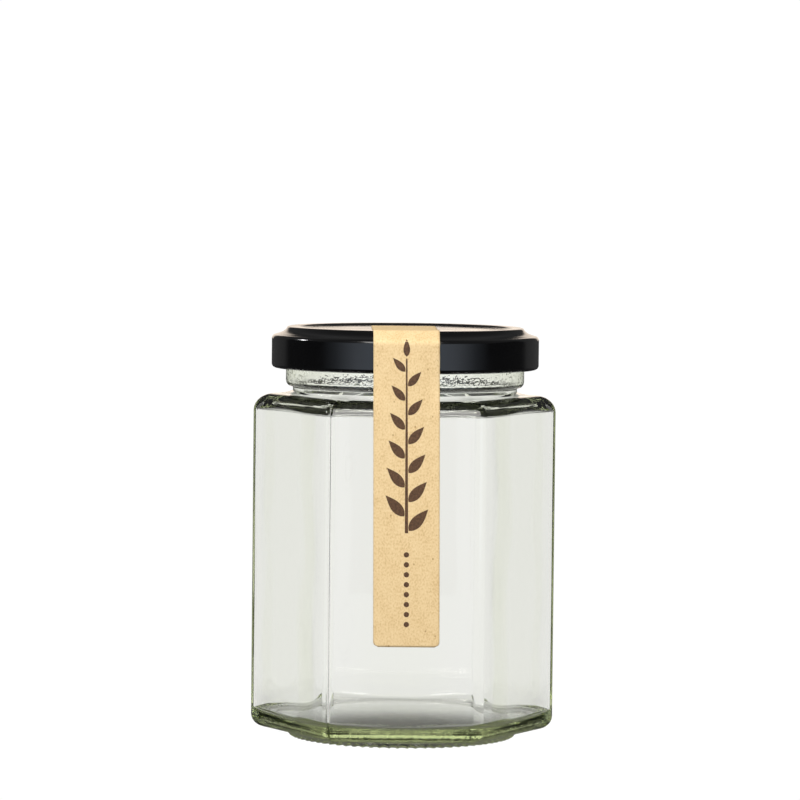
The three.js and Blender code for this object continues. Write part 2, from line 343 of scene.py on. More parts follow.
def new_material(name):
    """An empty node material and its tree."""
    material = bpy.data.materials.new(name)
    material.use_nodes = True
    material.node_tree.nodes.clear()
    return material, material.node_tree


def opaque(rgb):
    """A colour as the four values of a colour socket."""
    return (*rgb, 1.0)


def set_stops(ramp, stops):
    """Gives a colour ramp its stops, each a place and a linear colour."""
    while len(ramp.elements) < len(stops):
        ramp.elements.new(0.5)
    for element, (place, rgb) in zip(ramp.elements, stops):
        element.position = place
        element.color = opaque(rgb)


# Soda-lime glass, blown in an iron mould: clear, a little green where it is thick, and its skin is
# smooth but not quite even, so lines seen through it waver. The heel and the bead below the lid keep
# the mould's pits, which break up the light there. The pits are drawn coarser than they are.
def soda_lime_glass(settings):
    material, tree = new_material("soda_lime_glass")
    place = add_node(tree, "ShaderNodeTexCoord").outputs["Object"]
    waves = add_node(tree, "ShaderNodeTexNoise", {"Vector": place, "Scale": 1 / (9 * MM), "Detail": 1.0})
    pits = add_node(tree, "ShaderNodeTexNoise", {"Vector": place, "Scale": 1 / (0.9 * MM), "Detail": 1.0})
    height = add_node(tree, "ShaderNodeSeparateXYZ", {"Vector": place}).outputs["Z"]
    heel = add_node(tree, "ShaderNodeMapRange", {
        "Value": height, "From Min": 4.6 * MM, "From Max": 3.6 * MM,
    }, interpolation_type="SMOOTHSTEP")
    bead = add_node(tree, "ShaderNodeMapRange", {
        "Value": height, "From Min": 86.0 * MM, "From Max": 87.5 * MM,
    }, interpolation_type="SMOOTHSTEP")
    rough = add_node(tree, "ShaderNodeMath", {0: bead, 1: 0.3, 2: heel}, operation="MULTIPLY_ADD")
    pitted = add_node(tree, "ShaderNodeMath", {0: pits, 1: rough}, operation="MULTIPLY")
    relief = add_node(tree, "ShaderNodeMath", {0: waves, 1: 0.05, 2: pitted}, operation="MULTIPLY_ADD")
    bump = add_node(tree, "ShaderNodeBump", {"Strength": 1.0, "Distance": 0.15 * MM, "Height": relief})
    surface = add_node(tree, "ShaderNodeBsdfPrincipled", {
        "Base Color": (1, 1, 1, 1), "Roughness": 0.0, "IOR": 1.52, "Transmission Weight": 1.0, "Normal": bump,
    })
    inside = add_node(tree, "ShaderNodeVolumeAbsorption", {
        "Color": opaque(settings.tint), "Density": settings.tint_density,
    })
    add_node(tree, "ShaderNodeOutputMaterial", {"Surface": surface, "Volume": inside})
    return material


# Stoved lacquer on tinplate: deep black under a clear gloss, with the faint orange peel of a
# sprayed coat and handling marks that dull it here and there.
def black_lacquer(settings):
    material, tree = new_material("stoved_black_lacquer")
    place = add_node(tree, "ShaderNodeTexCoord").outputs["Object"]
    peel = add_node(tree, "ShaderNodeTexNoise", {"Vector": place, "Scale": 1 / (1.2 * MM), "Detail": 2.0})
    marks = add_node(tree, "ShaderNodeTexNoise", {"Vector": place, "Scale": 1 / (11 * MM), "Detail": 5.0})
    dullness = add_node(tree, "ShaderNodeMapRange", {
        "Value": marks, "From Min": 0.35, "From Max": 0.7, "To Min": 0.08, "To Max": 0.2,
    })
    bump = add_node(tree, "ShaderNodeBump", {"Strength": 0.1, "Distance": 0.02 * MM, "Height": peel})
    surface = add_node(tree, "ShaderNodeBsdfPrincipled", {
        "Base Color": opaque(settings.lacquer), "Roughness": dullness, "IOR": 1.52, "Normal": bump,
    })
    add_node(tree, "ShaderNodeOutputMaterial", {"Surface": surface})
    return material


# Uncoated brown paper: matt, with a fine grain of short fibres, soft clouds where the pulp is
# thicker, and a few dark specks of bark. The grain is drawn a little coarser than it is.
def brown_paper(settings):
    material, tree = new_material("uncoated_brown_paper")
    flat = add_node(tree, "ShaderNodeUVMap", uv_map="flat_strip")
    drawn = add_node(tree, "ShaderNodeMapping", {"Vector": flat, "Scale": (1.0, 0.7, 1.0)})
    fibres = add_node(tree, "ShaderNodeTexNoise", {"Vector": drawn, "Scale": 1 / (0.4 * MM), "Detail": 2.0})
    clouds = add_node(tree, "ShaderNodeTexNoise", {"Vector": drawn, "Scale": 1 / (3 * MM), "Detail": 2.0})
    pulp = add_node(tree, "ShaderNodeMixRGB", {"Fac": 0.3, "Color1": fibres, "Color2": clouds})
    shade = add_node(tree, "ShaderNodeValToRGB", {"Fac": pulp})
    set_stops(shade.color_ramp, [(0.28, settings.fibre), (0.5, settings.paper), (0.72, linear("#f0d6a6"))])
    specks = add_node(tree, "ShaderNodeTexVoronoi", {"Vector": drawn, "Scale": 1 / (2.4 * MM)})
    speck = add_node(tree, "ShaderNodeMapRange", {
        "Value": specks, "From Min": 0.05, "From Max": 0.1, "To Min": 0.8, "To Max": 0.0,
    })
    mixed = add_node(tree, "ShaderNodeMixRGB", {
        "Fac": speck, "Color1": shade, "Color2": opaque(linear("#a9824f")),
    })
    bump = add_node(tree, "ShaderNodeBump", {"Strength": 0.25, "Distance": 0.02 * MM, "Height": fibres})
    surface = add_node(tree, "ShaderNodeBsdfPrincipled", {
        "Base Color": mixed, "Roughness": 0.7, "IOR": 1.45, "Normal": bump,
    })
    add_node(tree, "ShaderNodeOutputMaterial", {"Surface": surface})
    return material


# Letterpress ink: dark brown, a little thin where the paper's fibres show through.
def printing_ink(settings):
    material, tree = new_material("letterpress_ink")
    place = add_node(tree, "ShaderNodeTexCoord").outputs["Object"]
    grain = add_node(tree, "ShaderNodeTexNoise", {"Vector": place, "Scale": 1 / (0.5 * MM), "Detail": 4.0})
    shade = add_node(tree, "ShaderNodeValToRGB", {"Fac": grain})
    set_stops(shade.color_ramp, [(0.35, settings.ink), (0.75, linear("#6b4c33"))])
    surface = add_node(tree, "ShaderNodeBsdfPrincipled", {"Base Color": shade, "Roughness": 0.7, "IOR": 1.45})
    add_node(tree, "ShaderNodeOutputMaterial", {"Surface": surface})
    return material


def new_piece(name, points, faces, material):
    """A smooth mesh object at the origin, in the scene's collection."""
    mesh = bpy.data.meshes.new(name)
    mesh.from_pydata(points, [], faces)
    mesh.shade_smooth()
    mesh.materials.append(material)
    piece = bpy.data.objects.new(name, mesh)
    bpy.context.scene.collection.objects.link(piece)
    return piece


def belongs(piece, slot, *nodes):
    """The piece rides on the jar and stands for the CAD nodes, which it hides. The slot is not used."""
    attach(piece, BODY)
    if nodes:
        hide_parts(*nodes)


def new_node_tree(name, inputs):
    """A geometry node tree with named inputs, and its input node. Each input is a name and a socket type."""
    tree = bpy.data.node_groups.new(name, "GeometryNodeTree")
    for label, kind in inputs:
        tree.interface.new_socket(label, in_out="INPUT", socket_type=kind)
    tree.interface.new_socket("Geometry", in_out="OUTPUT", socket_type="NodeSocketGeometry")
    return tree, tree.nodes.new("NodeGroupInput").outputs


def end_node_tree(tree, geometry, material):
    """Ends a tree with real geometry in its material."""
    real = add_node(tree, "GeometryNodeRealizeInstances", {"Geometry": geometry})
    finished = add_node(tree, "GeometryNodeSetMaterial", {"Geometry": real, "Material": material})
    add_node(tree, "NodeGroupOutput", {"Geometry": finished})


def run_node_tree(piece, tree, values):
    """Runs a node tree on a piece and keeps the result as its plain mesh."""
    modifier = piece.modifiers.new(tree.name, "NODES")
    modifier.node_group = tree
    for item in tree.interface.items_tree:
        if item.in_out == "INPUT" and item.name in values:
            modifier[item.identifier] = values[item.name]
    depsgraph = bpy.context.evaluated_depsgraph_get()
    result = bpy.data.meshes.new_from_object(piece.evaluated_get(depsgraph))
    piece.modifiers.remove(modifier)
    result.name = piece.name
    piece.data = result


def direction(angle):
    """Unit vector at an angle about the axis."""
    return np.array([math.cos(angle), math.sin(angle)])


def hump(share):
    """Height of a round hump, which is 0 at both of its ends and 1 half-way."""
    return (1 - math.cos(math.tau * share)) / 2


def hexagon_outline(corner, swell=0.0, seam=0.0):
    """Outline of a hexagon one unit from axis to face, with rounded corners, from the corner on +X.

    The middle of each face can swell towards the axis, and a seam can stand up on one of the corners.
    """
    corner_distance = (1 - corner) / math.cos(SIDE_ANGLE / 2)
    points = []
    for side in range(SIDES):
        middle = side * SIDE_ANGLE
        start = corner_distance * direction(middle)
        end = corner_distance * direction(middle + SIDE_ANGLE)
        for step in range(CORNER_STEPS):
            reach = corner
            if side == SEAM_CORNER and SEAM_START < step < SEAM_END:
                reach += seam * hump((step - SEAM_START) / (SEAM_END - SEAM_START))
            points.append(start + reach * direction(middle + SIDE_ANGLE * (step / CORNER_STEPS - 0.5)))
        for step in range(FACE_STEPS):
            share = step / FACE_STEPS
            reach = corner - swell * hump(share)
            points.append(start + (end - start) * share + reach * direction(middle + SIDE_ANGLE / 2))
    return np.array(points)


def quarter_curve(start, end, steps=CURVE_STEPS):
    """Quarter of an ellipse between two stations: upright at the start and level at the end.

    A station is its distance from the axis, its height and how hexagonal the section is there.
    """
    start = np.array(start, float)
    end = np.array(end, float)
    share = np.linspace(0, 1, steps + 1)
    angle = share * math.pi / 2
    weight = np.column_stack([1 - np.cos(angle), np.sin(angle), share])
    return start + (end - start) * weight


def bow(start, pull, end, steps):
    """Points of a curve between two ends, drawn towards a third point."""
    share = np.linspace(0, 1, steps + 1)[:, None]
    return (1 - share) ** 2 * start + 2 * share * (1 - share) * pull + share ** 2 * end


def soften(points, reach, steps=5):
    """Rounds each inner corner of a polyline, within the given reach of it."""
    points = [np.array(point, float) for point in points]
    result = [points[0]]
    for before, corner, after in zip(points, points[1:], points[2:]):
        ends = []
        for other in (before, after):
            way = other - corner
            distance = np.linalg.norm(way)
            ends.append(corner + way * min(0.5, reach / distance))
        result.extend(bow(ends[0], corner, ends[1], steps))
    result.append(points[-1])
    return np.array(result)


def turns_at(stations, index):
    """Whether the profile changes direction at a station."""
    if index in (0, len(stations) - 1):
        return False
    before = stations[index] - stations[index - 1]
    after = stations[index + 1] - stations[index]
    across = before[0] * after[1] - before[1] * after[0]
    return abs(across) > SMALLEST_BEND * math.hypot(*before[:2]) * math.hypot(*after[:2])


def hold_edges(stations):
    """Leaves out repeated stations, and adds one close to each bend that ends a long run.

    The added stations keep smooth shading from bending the run.
    """
    lengths = np.hypot(*np.diff(stations[:, :2], axis=0).T)
    stations = stations[np.append(True, lengths > SAME_POINT)]
    result = [stations[0]]
    for index in range(1, len(stations)):
        before = stations[index - 1]
        after = stations[index]
        distance = math.hypot(*(after - before)[:2])
        near = (after - before) * (EDGE_HOLD / distance)
        if distance > LONG_RUN and turns_at(stations, index - 1):
            result.append(before + near)
        if distance > LONG_RUN and turns_at(stations, index):
            result.append(after - near)
        result.append(after)
    return np.array(result)


def glass_outside(sizes):
    """Stations from the axis under the floor, over the foot ring and up to the top of the rim."""
    foot_inner = sizes.foot_radius - FOOT_WIDTH
    hollow_edge = foot_inner - FOOT_EDGE
    hollow = [
        (hollow_edge * share, PUSH_UP_EDGE + (PUSH_UP - PUSH_UP_EDGE) * (1 - share ** 2), 0)
        for share in HOLLOW_RINGS
    ]
    foot = soften([
        hollow[-1],
        (hollow_edge, PUSH_UP_EDGE, 0),
        (foot_inner + FOOT_EDGE, 0, 0),
        (sizes.foot_radius - 0.75 * FOOT_EDGE, 0, 0),
        (sizes.foot_radius, 1.2 * FOOT_EDGE, 0),
        (sizes.foot_radius, HEEL_LIFT, 0),
        (sizes.face_distance - HEEL_REACH, HEEL_DROP, 1),
    ], FOOT_ROUNDING)
    heel = quarter_curve(
        (sizes.face_distance, WALL_FOOT, 1), (sizes.face_distance - HEEL_REACH, HEEL_DROP, 1),
    )[::-1]
    shoulder_top = (sizes.face_distance - SHOULDER_REACH, SHOULDER_HEAD, 1)
    shoulder = quarter_curve((sizes.face_distance, sizes.wall_head, 1), shoulder_top, 2 * CURVE_STEPS)
    neck = quarter_curve((sizes.neck_radius, NECK_FOOT, 0), shoulder_top)[::-1]
    bead = quarter_curve(
        (sizes.bead_radius, NECK_HEAD + BEAD_CURVE, 0), (sizes.bead_radius - BEAD_EDGE, NECK_HEAD, 0),
    )[::-1]
    under_bead = soften([neck[-1], (sizes.neck_radius, NECK_HEAD, 0), bead[0]], BEAD_ROUNDING)
    finish = soften([
        bead[-1],
        (sizes.bead_radius, BEAD_HEAD, 0),
        (FINISH_RADIUS, FINISH_FOOT, 0),
        (FINISH_RADIUS, RIM_TOP - RIM_EDGE, 0),
    ], BEAD_ROUNDING)
    rim = quarter_curve(
        (FINISH_RADIUS, RIM_TOP - RIM_EDGE, 0), (FINISH_RADIUS - RIM_EDGE, RIM_TOP, 0), CURVE_STEPS // 2,
    )
    return hold_edges(np.vstack([
        hollow[:-1], foot[:-1], heel, shoulder, neck[1:-1], under_bead, bead[1:-1], finish[:-1], rim,
    ]))


def glass_inside(sizes):
    """Stations from the rim down the mouth, the inner wall and the floor."""
    wall_inside = sizes.face_distance - sizes.wall
    rim = quarter_curve(
        (sizes.mouth_radius, RIM_TOP - RIM_EDGE, 0), (sizes.mouth_radius + RIM_EDGE, RIM_TOP, 0),
        CURVE_STEPS // 2,
    )[::-1]
    shoulder_top = (wall_inside - INNER_SHOULDER_REACH, INNER_SHOULDER_HEAD, 1)
    mouth = quarter_curve((sizes.mouth_radius, INNER_NECK_FOOT, 0), shoulder_top)
    shoulder = quarter_curve((wall_inside, INNER_WALL_HEAD, 1), shoulder_top)[::-1]
    floor_radius = wall_inside - FLOOR_CURVE_WIDTH
    curve_top = FLOOR_EDGE + FLOOR_CURVE_HEIGHT
    wall = [(wall_inside, height, 1) for height in np.linspace(INNER_WALL_HEAD, curve_top, WALL_STEPS)[1:-1]]
    curve = quarter_curve((wall_inside, curve_top, 1), (floor_radius, FLOOR_EDGE, FLOOR_HEXNESS))
    floor = [
        (floor_radius * share, FLOOR_MIDDLE + (FLOOR_EDGE - FLOOR_MIDDLE) * share ** 2, FLOOR_HEXNESS * share)
        for share in FLOOR_RINGS
    ]
    return hold_edges(np.vstack([rim, mouth, shoulder[1:], wall, curve, floor]))


def rings(stations, circle, outline):
    """Points of each station's section, between the circle and the hexagon's outline."""
    radius, height, hexness = stations.T
    section = circle + (outline - circle) * hexness[:, None, None]
    flat = section * radius[:, None, None]
    return np.concatenate([flat, np.broadcast_to(height[:, None, None], (*flat.shape[:2], 1))], axis=2)


def turned_mesh(stack, foot, head):
    """Points and faces of a stack of rings, closed on the axis at a foot and a head height."""
    count, around = stack.shape[:2]
    points = np.vstack([[(0, 0, foot)], stack.reshape(-1, 3), [(0, 0, head)]])
    index = np.arange(count * around).reshape(count, around) + 1
    following = np.roll(index, -1, axis=1)
    quads = np.stack([index[:-1], following[:-1], following[1:], index[1:]], axis=-1).reshape(-1, 4)
    first = [(0, b, a) for a, b in zip(index[0], following[0])]
    last = [(len(points) - 1, a, b) for a, b in zip(index[-1], following[-1])]
    return points.tolist(), quads.tolist() + first + last


def wave_inside(stack, height_of_wave):
    """Slow waves on the inner wall, as blowing leaves them, that die out at its ends."""
    x, y, z = np.moveaxis(stack, 2, 0)
    angle = np.arctan2(y, x)
    up = z / WAVE_PITCH
    wave = sum(size * np.sin(count * angle + rise * up + phase) for count, rise, size, phase in WAVES)
    inside = np.clip((z - WAVE_FOOT) / WAVE_FADE, 0, 1) * np.clip((WAVE_HEAD - z) / WAVE_FADE, 0, 1)
    scale = 1 + height_of_wave * wave * inside / np.hypot(x, y)
    return np.stack([x * scale, y * scale, z], axis=2)


def knurl_tree():
    """Cuts notches between the bumps round the outer edge of the foot ring."""
    tree, values = new_node_tree("foot_knurl", [
        ("Geometry", "NodeSocketGeometry"), ("Count", "NodeSocketInt"), ("Depth", "NodeSocketFloat"),
        ("Ring inner", "NodeSocketFloat"), ("Ring outer", "NodeSocketFloat"),
        ("Material", "NodeSocketMaterial"),
    ])
    place = add_node(tree, "GeometryNodeInputPosition")
    parts = add_node(tree, "ShaderNodeSeparateXYZ", {"Vector": place}).outputs
    angle = add_node(tree, "ShaderNodeMath", {0: parts["Y"], 1: parts["X"]}, operation="ARCTAN2")
    turns = add_node(tree, "ShaderNodeMath", {0: angle, 1: values["Count"]}, operation="MULTIPLY")
    wave = add_node(tree, "ShaderNodeMath", {0: turns}, operation="COSINE")
    notch = add_node(tree, "ShaderNodeMapRange", {
        "Value": wave, "From Min": KNURL_CREST, "From Max": -1.0, "To Min": 0.0, "To Max": values["Depth"],
    })
    level = add_node(tree, "ShaderNodeCombineXYZ", {"X": parts["X"], "Y": parts["Y"]})
    away = add_node(tree, "ShaderNodeVectorMath", {0: level}, operation="LENGTH").outputs["Value"]
    outward = add_node(tree, "ShaderNodeMapRange", {
        "Value": away, "From Min": values["Ring inner"], "From Max": values["Ring outer"],
    }, interpolation_type="SMOOTHSTEP")
    below = add_node(tree, "ShaderNodeMapRange", {
        "Value": parts["Z"], "From Min": KNURL_HEAD, "From Max": KNURL_FOOT,
    }, interpolation_type="SMOOTHSTEP")
    share = add_node(tree, "ShaderNodeMath", {0: outward, 1: below}, operation="MULTIPLY")
    lift = add_node(tree, "ShaderNodeMath", {0: share, 1: notch}, operation="MULTIPLY")
    move = add_node(tree, "ShaderNodeCombineXYZ", {"Z": lift})
    cut = add_node(tree, "GeometryNodeSetPosition", {"Geometry": values["Geometry"], "Offset": move})
    end_node_tree(tree, cut, values["Material"])
    return tree


class JAR_OT_glass(bpy.types.Operator):
    """Make the glass: hexagonal body, round neck and knurled foot ring"""

    bl_idname = "jar.make_glass"
    bl_label = "Glass"

    def execute(self, context):
        sizes = context.scene.jar_glass
        material = soda_lime_glass(sizes)
        plain = hexagon_outline(sizes.outer_corner)
        circle = plain / np.linalg.norm(plain, axis=1, keepdims=True)
        seam = sizes.seam / sizes.face_distance
        outside = rings(glass_outside(sizes), circle, hexagon_outline(sizes.outer_corner, seam=seam))
        swell = sizes.face_swell / (sizes.face_distance - sizes.wall)
        inside = rings(glass_inside(sizes), circle, hexagon_outline(sizes.inner_corner, swell))
        stack = np.concatenate([outside, wave_inside(inside, sizes.wave)])
        points, faces = turned_mesh(stack, PUSH_UP, FLOOR_MIDDLE)
        piece = new_piece("glass_jar", points, faces, material)
        run_node_tree(piece, knurl_tree(), {
            "Count": sizes.knurl_count,
            "Depth": sizes.knurl_depth,
            "Ring inner": sizes.foot_radius - KNURL_REACH,
            "Ring outer": sizes.foot_radius - FOOT_EDGE,
            "Material": material,
        })
        belongs(piece, "clear_glass", "jar_glass")
        return {"FINISHED"}


def arc(centre, size, start, end, steps=CURVE_STEPS):
    """Points of an arc in a profile, between two angles."""
    angle = np.linspace(start, end, steps + 1)
    return np.array(centre) + size * np.column_stack([np.cos(angle), np.sin(angle)])


def lid_slope(sizes):
    """The hollow slope from the lid's step up to its raised ring."""
    foot = np.array([LID_STEP_RADIUS, sizes.top - LID_STEP_DROP])
    head = np.array([LID_RING_OUTER, sizes.top - LID_RING_EDGE / 2])
    sag = (foot + head) / 2 - LID_SLOPE_SAG * math.sqrt(0.5)
    return bow(foot, sag, head, CURVE_STEPS)


def lid_profile(sizes):
    """Profile of the lid from the axis under the panel, round the hem and back to the axis on top."""
    panel = sizes.top - LID_PANEL_DROP
    underside = panel - LID_PANEL_THICKNESS
    under = soften([
        (LID_MIDDLE, underside),
        (LID_RING_OUTER, underside),
        (LID_STEP_RADIUS - LID_SHEET, sizes.top - LID_STEP_DROP - LID_SHEET),
        (sizes.radius - LID_SHEET, SKIRT_HEAD),
        (sizes.radius - LID_SHEET, SKIRT_FOOT + 1.2 * HEM_SIZE),
    ], LID_UNDER_ROUNDING)
    hem = arc((sizes.radius - HEM_SIZE, SKIRT_FOOT), HEM_SIZE, -1.5 * math.pi, 0, 3 * CURVE_STEPS)
    skirt = [(sizes.radius, height) for height in np.linspace(SKIRT_FOOT, SKIRT_HEAD, 5)[1:-1]]
    corner = arc((sizes.radius - LID_CORNER, SKIRT_HEAD), LID_CORNER, 0, math.pi / 2)
    slope = lid_slope(sizes)
    step = soften([corner[-2], corner[-1], slope[0], slope[1]], LID_STEP_ROUNDING)
    top = soften([
        slope[-1],
        (LID_RING_OUTER - LID_RING_EDGE, sizes.top),
        (LID_RING_INNER, sizes.top),
        (LID_RING_INNER - LID_RING_FLANK, panel),
        (LID_RING_INNER - LID_FLAT, panel),
    ], LID_RING_ROUNDING)
    panel_rings = [(radius, panel) for radius in np.linspace(LID_RING_INNER - 1.5 * LID_FLAT, LID_MIDDLE, 6)]
    return np.vstack([under, hem, skirt, corner[:-2], step, slope[2:-1], top, panel_rings])


class JAR_OT_lid(bpy.types.Operator):
    """Make the lid: raised ring, sloping edge, straight skirt and curled hem"""

    bl_idname = "jar.make_lid"
    bl_label = "Lid"

    def execute(self, context):
        sizes = context.scene.jar_lid
        angle = np.arange(LID_SEGMENTS) * math.tau / LID_SEGMENTS
        circle = np.column_stack([np.cos(angle), np.sin(angle)])
        profile = hold_edges(lid_profile(sizes))
        stations = np.column_stack([profile, np.zeros(len(profile))])
        panel = sizes.top - LID_PANEL_DROP
        points, faces = turned_mesh(rings(stations, circle, circle), panel - LID_PANEL_THICKNESS, panel)
        piece = new_piece("tin_lid", points, faces, black_lacquer(sizes))
        belongs(piece, "black_lacquer", "lid")
        return {"FINISHED"}


def strip_path(sizes, glass, lid):
    """The strip's line from its lower end to its end on the lid, at equal steps.

    Each row is the length along it, the distance in front of the axis, the height, and how far the
    paper is flat there rather than bent round the lid.
    """
    face = glass.face_distance
    panel = lid.top - LID_PANEL_DROP
    free = np.linspace(0, 1, 24)
    bent = free ** 2 * (3 - 2 * free)
    hanging = np.column_stack([
        face + (lid.radius - face) * free, STRIP_FREE_FOOT + (SKIRT_FOOT - STRIP_FREE_FOOT) * free, 1 - bent,
    ])
    corner = arc((lid.radius - LID_CORNER, SKIRT_HEAD), LID_CORNER, 0, math.pi / 4, 6)
    over = soften([
        (*corner[-1], 0),
        (LID_RING_OUTER, lid.top - LID_RING_EDGE / 2, 0),
        (LID_RING_OUTER - LID_RING_EDGE, lid.top, 0),
        (LID_RING_INNER, lid.top, 0.3),
        (LID_RING_INNER - STRIP_STEP_RUN, panel, 0.6),
        (LID_RING_INNER / 2, panel, 1),
        (-sizes.back_end, panel, 1),
    ], STRIP_ROUNDING)
    line = np.vstack([
        [(face, sizes.bottom, 1)], hanging, np.column_stack([corner[:-1], np.zeros(len(corner) - 1)]), over,
    ])
    along = np.concatenate([[0], np.cumsum(np.linalg.norm(np.diff(line[:, :2], axis=0), axis=1))])
    steps = np.linspace(0, along[-1], round(along[-1] / STRIP_ROW) + 1)
    return np.column_stack([steps, *[np.interp(steps, along, column) for column in line.T]])


def on_strip(path, sizes, across, along, lift):
    """Points of the bent strip from places on the flat one, lifted off the lid and the glass."""
    steps, fronts, heights, flats = path.T
    ways = np.gradient(path[:, 1:3], axis=0)
    ways = ways / np.linalg.norm(ways, axis=1, keepdims=True)
    front = np.interp(along, steps, fronts)
    height = np.interp(along, steps, heights)
    flat = np.interp(along, steps, flats)
    outward = np.interp(along, steps, ways[:, 1])
    upward = np.interp(along, steps, -ways[:, 0])
    x = across + sizes.offset + sizes.lean * along
    bend = front - np.sqrt(np.maximum(front ** 2 - x ** 2, 0))
    bend = np.where(front > np.abs(x), bend, 0)
    return np.column_stack([x, -(front + outward * lift - bend * (1 - flat)), height + upward * lift])


class JAR_OT_strip(bpy.types.Operator):
    """Make the paper strip over the lid and down the front face"""

    bl_idname = "jar.make_strip"
    bl_label = "Paper strip"

    def execute(self, context):
        scene = context.scene
        sizes = scene.jar_strip
        path = strip_path(sizes, scene.jar_glass, scene.jar_lid)
        steps = path[:, 0]
        from_end = np.minimum(np.minimum(steps, steps[-1] - steps), STRIP_CORNER)
        rounding = STRIP_CORNER - np.sqrt(STRIP_CORNER ** 2 - (STRIP_CORNER - from_end) ** 2)
        shares = np.linspace(-0.5, 0.5, STRIP_COLUMNS + 1)
        across = (shares[None, :] * (sizes.width - 2 * rounding)[:, None]).ravel()
        along = np.repeat(steps, STRIP_COLUMNS + 1)
        under = on_strip(path, sizes, across, along, STRIP_GAP)
        over = on_strip(path, sizes, across, along, STRIP_GAP + STRIP_PAPER)
        index = np.arange(len(across)).reshape(len(steps), STRIP_COLUMNS + 1)
        quads = np.stack([index[:-1, :-1], index[:-1, 1:], index[1:, 1:], index[1:, :-1]], axis=-1)
        quads = quads.reshape(-1, 4)
        rim = np.concatenate([index[0, :-1], index[:-1, -1], index[-1, :0:-1], index[:0:-1, 0]])
        following = np.roll(rim, -1)
        shift = len(across)
        edges = np.column_stack([rim, following, following + shift, rim + shift])
        faces = (quads + shift).tolist() + quads[:, ::-1].tolist() + edges.tolist()
        piece = new_piece("paper_seal", np.vstack([under, over]).tolist(), faces, brown_paper(sizes))
        flat = np.tile(np.column_stack([across, along]), (2, 1))
        corners = np.empty(len(piece.data.loops), int)
        piece.data.loops.foreach_get("vertex_index", corners)
        layer = piece.data.uv_layers.new(name="flat_strip")
        layer.data.foreach_set("uv", flat[corners].ravel())
        belongs(piece, "brown_paper", "paper_strip")
        return {"FINISHED"}


